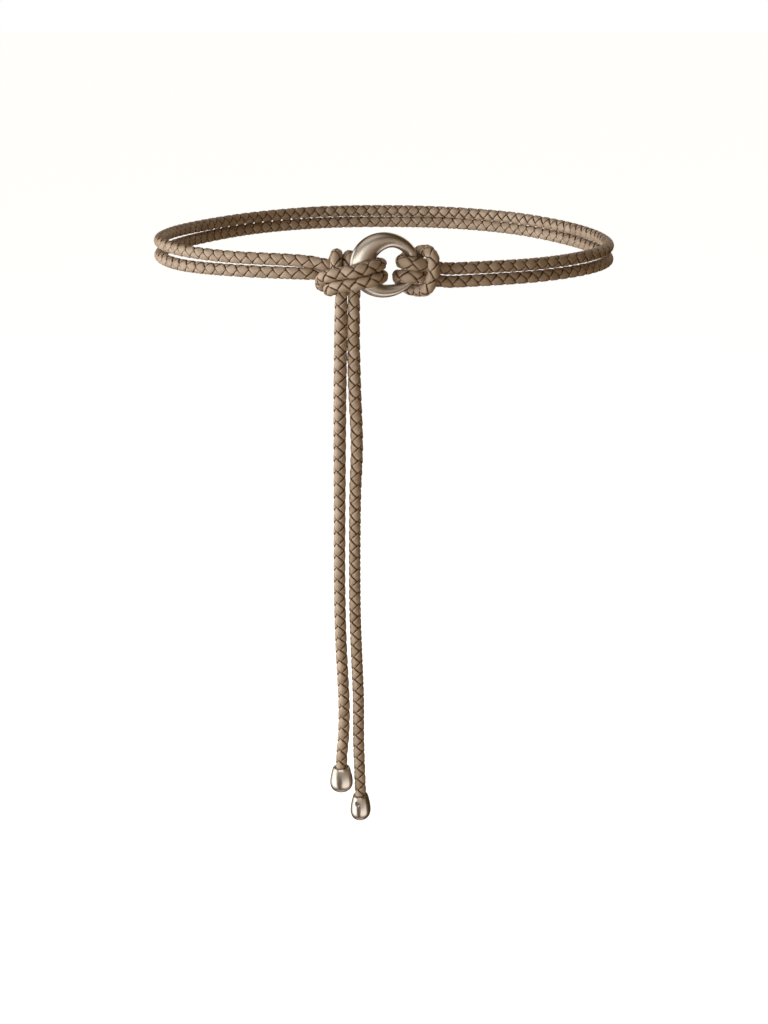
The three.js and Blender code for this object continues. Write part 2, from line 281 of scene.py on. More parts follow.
def tail_points(top, rows, length):
    points = [(top[0] + aside * cord_width, top[1], top[2] - down * length) for down, aside in rows]
    rim = points[-1]
    points.append((rim[0], rim[1], rim[2] - socket_depth + clearance))
    return points


left_end = tail_points(knot_points(upper_tie)[-1], left_tail, left_tail_length)
right_end = tail_points(knot_points(lower_tie)[-1], right_tail, right_tail_length)
print("Tails:", left_tail_length, right_tail_length, "m to their caps")

# %% [markdown]
# A smooth line through all these points is walked in even steps. A centripetal Catmull-Rom line is used,
# because it passes through every point and doesn't overshoot in the tight turns of the knots.

# %% A smooth line in even steps
length_steps = 40


def line_points(points, places):
    """Points of the centripetal Catmull-Rom line at places, counted in chosen points from 0."""
    ends = [2 * points[0] - points[1], 2 * points[-1] - points[-2]]
    all_points = np.vstack([ends[0], points, ends[1]])
    index = np.minimum(places.astype(int), len(points) - 2)
    share = (places - index)[:, None]
    before, start, end, after = (all_points[index + k] for k in range(4))
    neighbours = ((before, start), (start, end), (end, after))
    into, here, onward = (np.linalg.norm(b - a, axis=1)[:, None] ** 0.5 for a, b in neighbours)
    leave = ((start - before) / into - (end - before) / (into + here) + (end - start) / here) * here
    arrive = ((end - start) / here - (after - start) / (here + onward) + (after - end) / onward) * here
    square = -3 * start + 3 * end - 2 * leave - arrive
    cube = 2 * start - 2 * end + leave + arrive
    return start + leave * share + square * share ** 2 + cube * share ** 3


def evenly(points, step):
    """The smooth line through points, in steps of about this length."""
    points = np.array(points, float)
    divisions = len(points) * length_steps
    places = np.arange(divisions + 1) / divisions * (len(points) - 1)
    fine = line_points(points, places)
    reach = np.concatenate([[0], np.cumsum(np.linalg.norm(np.diff(fine, axis=0), axis=1))])
    count = round(reach[-1] / step)
    return line_points(points, np.interp(np.arange(count + 1) / count * reach[-1], reach, places))


step = 0.002
route = evenly([
    *left_end[::-1],
    *knot_points(upper_tie)[::-1],
    *waist_points(1)[::-1],
    *knot_points(hitch),
    *waist_points(-1),
    *knot_points(lower_tie),
    *right_end,
], step)
print("Route:", len(route), "points")

# %% [markdown]
# The ring is an oval whose hole lies to the right of its middle, so its left bar is broad and its right bar
# is narrow. The hole is a smaller oval, fuller at its foot than at its top. A ray from the hole's middle
# meets the outer edge at a distance that a formula gives, and the section of the bar between the two edges
# is a superellipse, flatter at the back.

# %% Shape of the ring
bar_power = 2.3
back_share = 0.8
shoulder_power = 4
top_power = 1.8
foot_power = 2.6
coarse_around = 72
coarse_across = 24


def outer_reach(angle):
    """Distance from the hole's middle to the ring's outer edge."""
    wide = (2 / ring_width) ** 2
    high = (2 / ring_height) ** 2
    square = wide * np.cos(angle) ** 2 + high * np.sin(angle) ** 2
    half = wide * np.cos(angle) * hole_across - high * np.sin(angle) * hole_drop
    inside = 1 - wide * hole_across ** 2 - high * hole_drop ** 2
    oval = (np.sqrt(half ** 2 + square * inside) - half) / square
    return oval + shoulder * np.maximum(0, np.cos(angle - shoulder_angle)) ** shoulder_power


def ring_points(around, across):
    """The ring's skin as a grid of points, with this many steps around the hole and around the bar."""
    angle, turn = np.meshgrid(
        2 * math.pi * np.arange(around) / around, 2 * math.pi * np.arange(across) / across, indexing="ij"
    )
    power = np.where(np.sin(angle) > 0, top_power, foot_power)
    wide, high = np.abs(np.cos(angle)) * 2 / hole_width, np.abs(np.sin(angle)) * 2 / hole_height
    inner = (wide ** power + high ** power) ** (-1 / power)
    outer = outer_reach(angle)
    side = np.sign(np.cos(turn)) * np.abs(np.cos(turn)) ** (2 / bar_power)
    face = np.sign(np.sin(turn)) * np.abs(np.sin(turn)) ** (2 / bar_power)
    reach = (inner + outer) / 2 + side * (outer - inner) / 2
    out = face * ring_thickness / 2 * np.where(face < 0, back_share, 1)
    x = hole_across + reach * np.cos(angle)
    y = -out
    z = reach * np.sin(angle) - hole_drop
    turned_x = x * math.cos(ring_turn) - y * math.sin(ring_turn)
    turned_y = x * math.sin(ring_turn) + y * math.cos(ring_turn)
    return np.stack([turned_x, turned_y, z], axis=-1) + ring_middle


coarse_skin = ring_points(coarse_around, coarse_across).reshape(-1, 3)
print("Coarse ring skin:", len(coarse_skin), "points")

# %% [markdown]
# The chosen points leave the knots a little loose. As in the CAD part, the route is pulled tight: in each
# round every free point is drawn to the middle of its neighbours and to its chosen place, and pushed off
# the ring and off every other stretch of cord, so that nothing passes through anything.

# %% Pull the knots tight
rounds = 240
gentle_after = 0.75
gentle_share = 0.2
smoothing = 0.35
hold = 0.05
pushing = 0.5
beside_widths = 1.6
cord_slack = 0.00012
ring_slack = 0.0002
search_reach = 2.5 * cord_width
search_rounds = 20


def pairs_within(points, others, reach):
    """Indices of the pairs of points and others that are nearer than reach."""
    return np.nonzero(np.linalg.norm(points[:, None] - others[None], axis=2) < reach)


def settle(route, loose, near, skin):
    apart = cord_width + clearance + cord_slack
    off_ring = cord_width / 2 + clearance + ring_slack
    beside = math.ceil(beside_widths * cord_width / step)
    chosen = route.copy()
    for turn in range(rounds):
        ease = 1 if turn < rounds * gentle_after else gentle_share
        middles = (route[loose - 1] + route[loose + 1]) / 2
        route[loose] += ease * (smoothing * (middles - route[loose]) + hold * (chosen[loose] - route[loose]))
        if turn % search_rounds == 0:
            first, second = (near[found] for found in pairs_within(route[near], route[near], search_reach))
            first, second = first[second - first > beside], second[second - first > beside]
            touching, spots = pairs_within(route[near], skin, search_reach)
            touching = near[touching]
        push = np.zeros_like(route)
        gap = route[first] - route[second]
        far = np.linalg.norm(gap, axis=1)
        close = far < apart
        shove = gap[close] * ((apart - far[close]) / far[close])[:, None]
        np.add.at(push, first[close], shove)
        np.add.at(push, second[close], -shove)
        gap = route[touching] - skin[spots]
        far = np.linalg.norm(gap, axis=1)
        close = far < off_ring
        np.add.at(push, touching[close], gap[close] * ((off_ring - far[close]) / far[close])[:, None])
        route[loose] += pushing * push[loose]


knot_aside = 2.9
knot_down = 1.9
near_aside = 1.25
near_down = 1.5
front_share = 0.75


def stretches_within(aside, down):
    in_front = route[:, 1] < -front_depth * front_share
    within = np.abs(route[:, 0]) < aside * ring_width / 2
    above = route[:, 2] > -down * ring_height / 2
    return np.nonzero(in_front & within & above)[0]


loose_knots = stretches_within(knot_aside, knot_down)
near_knots = stretches_within(knot_aside * near_aside, knot_down * near_down)
settle(route, loose_knots, near_knots, coarse_skin)
print("Free points in the knots:", len(loose_knots))

# %% [markdown]
# The route is walked again in finer steps, and each point gets a direction that shows which way the braid's
# first seam lies. Carrying that direction along without twisting it keeps the braid straight.

# %% Fine line with its sideways directions
fine_step = 0.0005
line = evenly(route, fine_step)
ahead = np.gradient(line, axis=0)
ahead /= np.linalg.norm(ahead, axis=1)[:, None]
aside = np.zeros_like(line)
aside[0] = np.cross(ahead[0], (1, 0, 0))
aside[0] /= np.linalg.norm(aside[0])
for i in range(1, len(line)):
    carried = aside[i - 1] - ahead[i] * (aside[i - 1] @ ahead[i])
    aside[i] = carried / np.linalg.norm(carried)
reach = np.concatenate([[0], np.cumsum(np.linalg.norm(np.diff(line, axis=0), axis=1))])
print("Whole cord:", round(reach[-1], 3), "m")

# %% [markdown]
# A real cord is twisted a little by the hands that tie it, so the seam wanders. The table says how far it
# has turned at each place along the cord, in steps of five degrees judged one by one. A moving average takes
# the corners out of it, so that no lace bends suddenly.

# %% Let the seam wander
seam_turns = [
    # place along the cord in metres, turn in degrees
    (0, 65),
    (0.08, 75),
    (0.19, 65),
    (0.3, 60),
    (0.48, 25),
    (0.55, 25),
    (0.6, 15),
    (0.69, -5),
    (0.74, 20),
    (0.79, 20),
    (0.82, 60),
    (0.87, 60),
    (0.91, 40),
    (0.96, 15),
    (1, -20),
    (1.05, -30),
    (1.11, 5),
    (1.2, -10),
    (1.39, 10),
    (1.44, 10),
    (1.5, -5),
    (1.6, 5),
    (1.64, 25),
    (1.69, 40),
    (1.75, 25),
    (1.8, -5),
    (1.87, -10),
    (2.02, -40),
    (2.07, -30),
    (2.13, -75),
    (2.31, -65),
    (2.36, -65),
    (2.53, -95),
    (2.63, -105),
]
even_out = 41


def evened(values, window):
    """The values with sudden changes spread over this many steps."""
    padded = np.pad(values, window // 2, mode="edge")
    return np.convolve(padded, np.ones(window) / window, mode="valid")


turn = evened(np.interp(reach, *zip(*seam_turns)), even_out)
turn = np.radians(turn)[:, None]
aside = aside * np.cos(turn) + np.cross(ahead, aside) * np.sin(turn)
print("The seam turns from", seam_turns[0][1], "to", seam_turns[-1][1], "degrees")

# %% [markdown]
# The braid is a little fuller where it isn't pulled: at the back, just under the tie, and where it lies
# level in the hitch. So each point gets a girth as well, which eases in and out between the places named
# here.

# %% Let the girth change
back_girth = 1.08
top_girth = 1.07
hitch_girth = 1.08
back_from = [0, 0.05]
tail_heights = [-0.15, -0.07, -0.03, -0.012]
hitch_places = [0.004, 0.01, 0.026, 0.032]
level_from = [0.5, 0.8]

behind = np.interp(line[:, 1], back_from, [0, 1])
below_tie = np.interp(line[:, 2], tail_heights, [0, 1, 1, 0])
in_hitch = np.interp(line[:, 0], hitch_places, [0, 1, 1, 0]) * (line[:, 1] < -front_depth / 2)
level = np.interp(np.abs(ahead[:, 0]), level_from, [0, 1])
girth = 1 + (back_girth - 1) * behind + (top_girth - 1) * below_tie + (hitch_girth - 1) * in_hitch * level
print("Girth:", round(girth.min(), 3), "to", round(girth.max(), 3))

# %% [markdown]
# In the CAD part the two hanging ends are nodes of their own, cut off behind the tie's front rows, where
# nothing shows. The braid is cut at the same height.

# %% Where the cord is cut into its pieces
cut_drop = 0.75
cut_height = ring_rise - cut_drop * ring_height / 2
above = np.nonzero(line[:, 2] > cut_height)[0]
left_cut, right_cut = above[0], above[-1]
print("Cuts at", round(reach[left_cut], 3), "and", round(reach[right_cut], 3), "m")
stretches = {
    "tail_left": np.arange(left_cut + 1),
    "waist_cord": np.arange(left_cut, right_cut + 1),
    "tail_right": np.arange(right_cut, len(line)),
}

# %% [markdown]
# The braid follows a rule, so Geometry Nodes make it. Four flat laces wind round the cord, two to the right
# and two to the left, and each passes over and under the other pair in turn. A lace starts as a thin
# upright cylinder: its height becomes the way along the cord, and its round section becomes the lace's own
# flat section. The nodes then wind it: the angle grows with the way along, the distance from the middle
# rises and falls with twice that angle, and the point is laid on the cord's line. What the material needs
# is stored on the way: the place across the lace, whether it lies over or under there, and its own flat
# coordinates for the grain.

# %% Helpers for building a node tree
def new_tree(name, inputs):
    """A Geometry Nodes tree with these named inputs, given as (name, socket type, value)."""
    tree = bpy.data.node_groups.new(name, "GeometryNodeTree")
    tree.interface.new_socket("Geometry", in_out="INPUT", socket_type="NodeSocketGeometry")
    tree.interface.new_socket("Geometry", in_out="OUTPUT", socket_type="NodeSocketGeometry")
    for label, kind, value in inputs:
        socket = tree.interface.new_socket(label, in_out="INPUT", socket_type=kind)
        if value is not None:
            socket.default_value = value
    return tree


class Wiring:
    """Adds nodes to a tree and joins them, so that a formula reads from left to right."""

    def __init__(self, tree):
        self.tree = tree
        self.given = tree.nodes.new("NodeGroupInput").outputs

    def node(self, kind, *values, **settings):
        made = self.tree.nodes.new(kind)
        for key, value in settings.items():
            setattr(made, key, value)
        sockets = [socket for socket in made.inputs if socket.enabled]
        for socket, value in zip(sockets, values):
            self.plug(socket, value)
        return made

    def plug(self, socket, value):
        if isinstance(value, bpy.types.NodeSocket):
            self.tree.links.new(value, socket)
        else:
            socket.default_value = value

    def math(self, operation, *values):
        return self.node("ShaderNodeMath", *values, operation=operation).outputs[0]

    def vector(self, operation, *values):
        made = self.tree.nodes.new("ShaderNodeVectorMath")
        made.operation = operation
        for socket, value in zip(made.inputs, values):
            self.plug(socket, value)
        return made.outputs["Vector"]

    def scaled(self, vector, factor):
        made = self.tree.nodes.new("ShaderNodeVectorMath")
        made.operation = "SCALE"
        self.plug(made.inputs["Vector"], vector)
        self.plug(made.inputs["Scale"], factor)
        return made.outputs["Vector"]

    def stored(self, geometry, name, kind, value, domain="POINT"):
        made = self.tree.nodes.new("GeometryNodeStoreNamedAttribute")
        made.data_type = kind
        made.domain = domain
        self.plug(made.inputs["Geometry"], geometry)
        made.inputs["Name"].default_value = name
        self.plug(made.inputs["Value"], value)
        return made.outputs[0]

    def named(self, name, kind):
        made = self.tree.nodes.new("GeometryNodeInputNamedAttribute")
        made.data_type = kind
        made.inputs["Name"].default_value = name
        return made.outputs["Attribute"]


# %% Sizes of the braid
lay_length = 0.0155
lace_width = 0.0057
lace_thickness = 0.001
weave_depth = 0.0004
wound_radius = 0.0033
lace_count = 4
section_sides = 10
steps_per_lay = 18
section_power = 0.45
edge_power = 0.55
swap_speed = 2.6
lag = 0.1
crown_radius = 0.00377
lace_middle = crown_radius - weave_depth - lace_thickness / 2
slant = math.radians(47)
print("The laces slant by", round(math.degrees(slant), 1), "degrees")


# %% The braid tree
def braid_tree():
    tree = new_tree("round_braid", [
        ("Lay length", "NodeSocketFloat", lay_length),
        ("Lace width", "NodeSocketFloat", lace_width),
        ("Lace thickness", "NodeSocketFloat", lace_thickness),
        ("Weave depth", "NodeSocketFloat", weave_depth),
        ("Lace middle", "NodeSocketFloat", lace_middle),
        ("Swap speed", "NodeSocketFloat", swap_speed),
        ("Lag", "NodeSocketFloat", lag),
        ("Start", "NodeSocketFloat", 0.0),
        ("Leather", "NodeSocketMaterial", None),
    ])
    w = Wiring(tree)

    def squared(value, power):
        """A round section's coordinate, with its corners filled out when the power is under 1."""
        return w.math("MULTIPLY", w.math("POWER", w.math("ABSOLUTE", value), power), w.math("SIGN", value))

    line_curve = w.node("GeometryNodeMeshToCurve", w.given["Geometry"]).outputs[0]
    length = w.node("GeometryNodeCurveLength", line_curve).outputs[0]
    overhang = w.math("MULTIPLY", w.given["Lace width"], math.sin(slant))
    whole = w.math("ADD", length, overhang)
    lays = w.math("DIVIDE", whole, w.given["Lay length"])
    along_steps = w.math("ROUND", w.math("MULTIPLY", lays, steps_per_lay))
    blank = w.node("GeometryNodeMeshCylinder", fill_type="NGON")
    blank.inputs["Vertices"].default_value = section_sides
    w.plug(blank.inputs["Side Segments"], along_steps)
    blank.inputs["Radius"].default_value = 1
    w.plug(blank.inputs["Depth"], whole)
    four = w.node("GeometryNodePoints")
    four.inputs["Count"].default_value = lace_count
    copies = w.node("GeometryNodeInstanceOnPoints")
    w.plug(copies.inputs["Points"], four.outputs[0])
    w.plug(copies.inputs["Instance"], blank.outputs[0])
    number = w.node("GeometryNodeInputIndex").outputs[0]
    numbered = w.stored(copies.outputs[0], "lace", "FLOAT", number, domain="INSTANCE")
    laces = w.node("GeometryNodeRealizeInstances", numbered).outputs[0]

    split = w.node("ShaderNodeSeparateXYZ", w.node("GeometryNodeInputPosition").outputs[0])
    across = w.math("MULTIPLY", squared(split.outputs["X"], edge_power), -1.0)
    proud = squared(split.outputs["Y"], section_power)
    middle_along = w.math("ADD", split.outputs["Z"], w.math("MULTIPLY", length, 0.5))
    lace = w.named("lace", "FLOAT")
    odd = w.math("MODULO", lace, 2.0)
    way = w.math("SUBTRACT", 1.0, w.math("MULTIPLY", odd, 2.0))
    phase = w.math("MULTIPLY", w.math("FLOOR", w.math("MULTIPLY", lace, 0.5)), math.pi)

    on_cord = w.math("ADD", w.given["Start"], middle_along)
    turns = w.math("DIVIDE", on_cord, w.given["Lay length"])
    wound = w.math("MULTIPLY", w.math("MULTIPLY", turns, 2 * math.pi), way)
    even_angle = w.math("ADD", wound, phase)
    twice = w.math("MULTIPLY", even_angle, 2.0)
    late = w.math("MULTIPLY", w.math("MULTIPLY", w.math("SINE", twice), way), w.given["Lag"])
    middle_angle = w.math("SUBTRACT", even_angle, late)
    half = w.math("MULTIPLY", w.math("MULTIPLY", across, w.given["Lace width"]), 0.5)
    lean = w.math("MULTIPLY", w.math("MULTIPLY", half, math.sin(slant)), w.math("MULTIPLY", way, -1.0))
    along = w.math("ADD", middle_along, lean)
    angle = w.math("ADD", middle_angle, w.math("MULTIPLY", half, math.cos(slant) / wound_radius))

    swing = w.math("TANH", w.math("MULTIPLY", w.math("COSINE", twice), w.given["Swap speed"]))
    swing = w.math("DIVIDE", swing, w.math("TANH", w.given["Swap speed"]))
    rise = w.math("MULTIPLY", w.math("MULTIPLY", swing, way), w.given["Weave depth"])
    skin = w.math("MULTIPLY", w.math("MULTIPLY", proud, 0.5), w.given["Lace thickness"])
    distance = w.math("ADD", w.math("ADD", w.given["Lace middle"], rise), skin)

    def sampled(kind, value):
        made = w.tree.nodes.new("GeometryNodeSampleCurve")
        made.mode = "LENGTH"
        made.data_type = kind
        w.plug(made.inputs["Curves"], line_curve)
        w.plug(made.inputs["Value"], value)
        w.plug(made.inputs["Length"], along)
        return made.outputs

    seen = sampled("FLOAT_VECTOR", w.named("aside", "FLOAT_VECTOR"))
    ahead_way = sampled("FLOAT_VECTOR", w.named("ahead", "FLOAT_VECTOR"))["Value"]
    ahead_way = w.vector("NORMALIZE", ahead_way)
    sideways = w.vector("NORMALIZE", seen["Value"])
    upright = w.vector("CROSS_PRODUCT", ahead_way, sideways)
    out = w.vector(
        "ADD", w.scaled(sideways, w.math("COSINE", angle)), w.scaled(upright, w.math("SINE", angle))
    )
    full = w.math("MULTIPLY", distance, sampled("FLOAT", w.named("girth", "FLOAT"))["Value"])
    place = w.vector("ADD", seen["Position"], w.scaled(out, full))

    marked = w.stored(laces, "across", "FLOAT", across)
    marked = w.stored(marked, "over", "FLOAT", w.math("MULTIPLY", swing, way))
    grain = w.node("ShaderNodeCombineXYZ", on_cord, half, w.math("MULTIPLY", lace, 0.1)).outputs[0]
    marked = w.stored(marked, "grain", "FLOAT_VECTOR", grain)
    moved = w.tree.nodes.new("GeometryNodeSetPosition")
    w.plug(moved.inputs["Geometry"], marked)
    w.plug(moved.inputs["Position"], place)
    smooth = w.node("GeometryNodeSetShadeSmooth", moved.outputs[0]).outputs[0]
    real = w.node("GeometryNodeRealizeInstances", smooth).outputs[0]
    dressed = w.tree.nodes.new("GeometryNodeSetMaterial")
    w.plug(dressed.inputs["Geometry"], real)
    w.plug(dressed.inputs["Material"], w.given["Leather"])
    out_node = tree.nodes.new("NodeGroupOutput")
    w.plug(out_node.inputs["Geometry"], dressed.outputs[0])
    return tree


round_braid = braid_tree()
print("Braid tree:", len(round_braid.nodes), "nodes")

# %% [markdown]
# Leather that is cut into laces is pale on its skin and dark at its cut edges. On top of that, painted shade
# darkens the lace's edges more widely, to draw the grooves between laces, and darkens it where it dives
# under the next lace. The colour therefore follows two stored numbers: the place across the lace, and
# whether it lies over or under there. A soft noise mixes two taupes over the skin. A much finer one makes
# the pores, which show in the shine and as a faint bump.

# %% Helpers for materials
def new_material(name):
    material = bpy.data.materials.new(name)
    material.use_nodes = True
    return material, material.node_tree.nodes, material.node_tree.links


def noise(nodes, links, vector, scale, detail=4.0, roughness=0.55):
    made = nodes.new("ShaderNodeTexNoise")
    made.inputs["Scale"].default_value = scale
    made.inputs["Detail"].default_value = detail
    made.inputs["Roughness"].default_value = roughness
    links.new(vector, made.inputs["Vector"])
    return made.outputs["Fac"]


def ramp(nodes, links, factor, stops):
    made = nodes.new("ShaderNodeValToRGB")
    elements = made.color_ramp.elements
    while len(elements) < len(stops):
        elements.new(0.5)
    for element, (place, colour) in zip(elements, stops):
        element.position = place
        element.color = (*colour, 1)
    links.new(factor, made.inputs["Fac"])
    return made.outputs["Color"]


def mixed(nodes, links, factor, first, second):
    """The first output's colour where the factor is 0, and the second colour where it is 1."""
    made = nodes.new("ShaderNodeMix")
    made.data_type = "RGBA"
    links.new(factor, made.inputs[0])
    links.new(first, made.inputs[6])
    made.inputs[7].default_value = (*second, 1)
    return made.outputs[2]


def number(nodes, links, operation, *values):
    made = nodes.new("ShaderNodeMath")
    made.operation = operation
    for socket, value in zip(made.inputs, values):
        links.new(value, socket)
    return made.outputs[0]


def between(nodes, links, value, low, high):
    """0 where the value is at low, 1 where it is at high, and smooth between."""
    made = nodes.new("ShaderNodeMapRange")
    made.interpolation_type = "SMOOTHSTEP"
    links.new(value, made.inputs["Value"])
    made.inputs["From Min"].default_value = low
    made.inputs["From Max"].default_value = high
    return made.outputs["Result"]


def attribute(nodes, name, output):
    made = nodes.new("ShaderNodeAttribute")
    made.attribute_name = name
    return made.outputs[output]


# %% Taupe leather
taupe_light = (0.6, 0.47, 0.34)
taupe_dark = (0.41, 0.3, 0.205)
# The dark brown of the laces' cut edges, which also serves as painted shade in the grooves between laces and
# where a lace dives under the next
cut_edge_and_shade = (0.09, 0.04, 0.012)
patch_scale = 90
pore_scale = 2600
# From here to the lace's edge the colour darkens: partly its dark cut edge, partly painted shade that draws
# the groove
edge_from = 0.86
# Where a lace dives under the next one it is darkened with painted shade
under_shade_from = 0.2
under_shade_at = -0.25
least_rough = 0.42
most_rough = 0.68


def lace_leather():
    material, nodes, links = new_material("taupe_lace_leather")
    shader = nodes["Principled BSDF"]
    grain = attribute(nodes, "grain", "Vector")
    patches = noise(nodes, links, grain, patch_scale, detail=3)
    skin = ramp(nodes, links, patches, [(0.32, taupe_dark), (0.68, taupe_light)])
    across = number(nodes, links, "ABSOLUTE", attribute(nodes, "across", "Fac"))
    # Partly the dark cut edge, partly painted shade along the groove between laces
    edge = between(nodes, links, across, edge_from, 1)
    # Painted shade where the lace dives under the next one
    under = between(nodes, links, attribute(nodes, "over", "Fac"), under_shade_from, under_shade_at)
    groove = number(nodes, links, "MAXIMUM", edge, under)
    shaded = mixed(nodes, links, groove, skin, cut_edge_and_shade)
    links.new(shaded, shader.inputs["Base Color"])
    pores = noise(nodes, links, grain, pore_scale, detail=5, roughness=0.7)
    shine = nodes.new("ShaderNodeMapRange")
    links.new(pores, shine.inputs["Value"])
    shine.inputs["To Min"].default_value = least_rough
    shine.inputs["To Max"].default_value = most_rough
    links.new(shine.outputs["Result"], shader.inputs["Roughness"])
    bump = nodes.new("ShaderNodeBump")
    bump.inputs["Strength"].default_value = 0.35
    bump.inputs["Distance"].default_value = 0.00012
    links.new(pores, bump.inputs["Height"])
    links.new(bump.outputs["Normal"], shader.inputs["Normal"])
    shader.inputs["Specular IOR Level"].default_value = 0.4
    return material


leather = lace_leather()
print("Material:", leather.name)

# %% [markdown]
# Each stretch of the cord's line becomes a thin chain of points that carries its directions. The braid tree
# runs on it, and its result is turned into a plain mesh, so that the piece rides on the belt like any
# other. The stretches meet at the cuts, and the braid runs on from one to the next.

# %% Make the braid
def chain(name, indices):
    """A mesh of points and edges along the cord's line, with the directions that the braid needs."""
    mesh = bpy.data.meshes.new(name)
    mesh.from_pydata(line[indices], [(i, i + 1) for i in range(len(indices) - 1)], [])
    for label, values in (("aside", aside[indices]), ("ahead", ahead[indices])):
        stored = mesh.attributes.new(label, "FLOAT_VECTOR", "POINT")
        stored.data.foreach_set("vector", np.ascontiguousarray(values, np.float32).ravel())
    mesh.attributes.new("girth", "FLOAT", "POINT").data.foreach_set("value", np.float32(girth[indices]))
    return mesh


def socket_id(tree, label):
    return next(item.identifier for item in tree.interface.items_tree if item.name == label)


def grown(name, mesh, tree, values):
    """The plain mesh that a tree makes from a mesh, as a new object."""
    source = bpy.data.objects.new(name + "_source", mesh)
    bpy.context.scene.collection.objects.link(source)
    modifier = source.modifiers.new("grow", "NODES")
    modifier.node_group = tree
    for label, value in values.items():
        modifier[socket_id(tree, label)] = value
    evaluated = source.evaluated_get(bpy.context.evaluated_depsgraph_get())
    made = bpy.data.meshes.new_from_object(evaluated)
    made.name = name
    bpy.data.objects.remove(source)
    piece = bpy.data.objects.new(name, made)
    bpy.context.scene.collection.objects.link(piece)
    return piece


def triangles(piece):
    return sum(len(polygon.vertices) - 2 for polygon in piece.data.polygons)


for node_name, indices in stretches.items():
    piece = grown("braid_" + node_name, chain(node_name, indices), round_braid, {
        "Start": float(reach[indices[0]]),
        "Leather": leather,
    })
    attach(piece, "root")
    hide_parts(node_name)
    print(piece.name, triangles(piece), "triangles")

# %% [markdown]
# The ring and the caps are one satin nickel with a warm cast. Its colour is the same everywhere. What gives
# it life is what it mirrors, so the roughness is kept low enough for the soft lights to draw bands on it,
# and a very faint bump takes away the look of a perfect surface.

# %% Satin nickel
nickel_colour = (0.56, 0.515, 0.46)
screw_colour = (0.3, 0.27, 0.24)
worn_scale = 260
grain_scale = 3000


def satin_nickel(name, colour, roughness):
    material, nodes, links = new_material(name)
    shader = nodes["Principled BSDF"]
    shader.inputs["Base Color"].default_value = (*colour, 1)
    shader.inputs["Metallic"].default_value = 1
    place = nodes.new("ShaderNodeTexCoord").outputs["Object"]
    worn = noise(nodes, links, place, worn_scale, detail=4)
    spread = nodes.new("ShaderNodeMapRange")
    links.new(worn, spread.inputs["Value"])
    spread.inputs["To Min"].default_value = roughness * 0.85
    spread.inputs["To Max"].default_value = roughness * 1.15
    links.new(spread.outputs["Result"], shader.inputs["Roughness"])
    bump = nodes.new("ShaderNodeBump")
    bump.inputs["Strength"].default_value = 0.15
    bump.inputs["Distance"].default_value = 0.00003
    links.new(noise(nodes, links, place, grain_scale, detail=2), bump.inputs["Height"])
    links.new(bump.outputs["Normal"], shader.inputs["Normal"])
    return material


nickel = satin_nickel("satin_nickel", nickel_colour, roughness=0.3)
screw_steel = satin_nickel("screw_steel", screw_colour, roughness=0.38)


def finished(name, mesh, node_name, material):
    """An object for a finished mesh that stands for a CAD node."""
    mesh.materials.clear()
    mesh.materials.append(material)
    piece = bpy.data.objects.new(name, mesh)
    bpy.context.scene.collection.objects.link(piece)
    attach(piece, "root")
    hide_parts(node_name)
    print(piece.name, triangles(piece), "triangles")
    return piece


# %% [markdown]
# The ring was cast and tumbled, so it has no sharp edge. The CAD part gives it the right section but few
# faces. The same formula with many more steps gives a skin that looks smooth in every reflection.

# %% Ring
ring_around = 160
ring_across = 48


def closed_grid(name, grid):
    """A mesh from a grid of points that closes on itself both ways."""
    rows, columns = grid.shape[:2]
    faces = []
    for i in range(rows):
        for j in range(columns):
            after, beside = (i + 1) % rows, (j + 1) % columns
            here, onward = i * columns, after * columns
            faces.append((here + j, onward + j, onward + beside, here + beside))
    mesh = bpy.data.meshes.new(name)
    mesh.from_pydata(grid.reshape(-1, 3), [], faces)
    return mesh


def outward(mesh):
    """Turn every face of a closed mesh outwards, and shade it smooth."""
    work = bmesh.new()
    work.from_mesh(mesh)
    bmesh.ops.recalc_face_normals(work, faces=work.faces)
    if work.calc_volume(signed=True) < 0:
        bmesh.ops.reverse_faces(work, faces=work.faces)
    for face in work.faces:
        face.smooth = True
    work.to_mesh(mesh)
    work.free()
    return mesh


ring_mesh = outward(closed_grid("ring_skin", ring_points(ring_around, ring_across)))
finished("ring_skin", ring_mesh, "ring", nickel)

# %% [markdown]
# Each cap is an egg of metal with a round socket in its top. It was turned and then pressed oval, so it is
# a lathe form whose outside is narrower from front to back. The rim is rounded over, because a sharp rim
# would catch no light. The hole for the grub screw is cut with a Boolean, and its cutter widens outwards to
# leave a small chamfer.

# %% Sizes of the caps
cap_width = 0.0146
cap_breadth = 0.0128
cap_height = 0.0174
rim_width = 0.0104
socket_gap = 0.0005
socket_radius = cord_width / 2 + socket_gap
widest_drop = 0.6
side_power = 1.6
bottom_power = 2.4
screw_width = 0.0024
screw_length = 0.0012
screw_drop = 0.0036
screw_key = 0.0011
left_facing = 10
right_facing = -110
cap_sides = 96
cap_rows = 44


def cap_radius(drop):
    widest = cap_width / 2
    if drop < widest_drop:
        return widest - (widest - rim_width / 2) * ((widest_drop - drop) / widest_drop) ** side_power
    low = (drop - widest_drop) / (1 - widest_drop)
    return widest * max(0, 1 - low ** bottom_power) ** (1 / bottom_power)


# %% Cap
# How far in from the outside to the socket, and how deep below the rim, each row of the rounded rim lies
rim_rows = [(0, 0.00035), (0.1, 0.00012), (0.3, 0.00001), (0.6, 0), (0.85, 0.00006), (1, 0.00022)]
socket_rows = [0.001, 0.004, socket_depth]


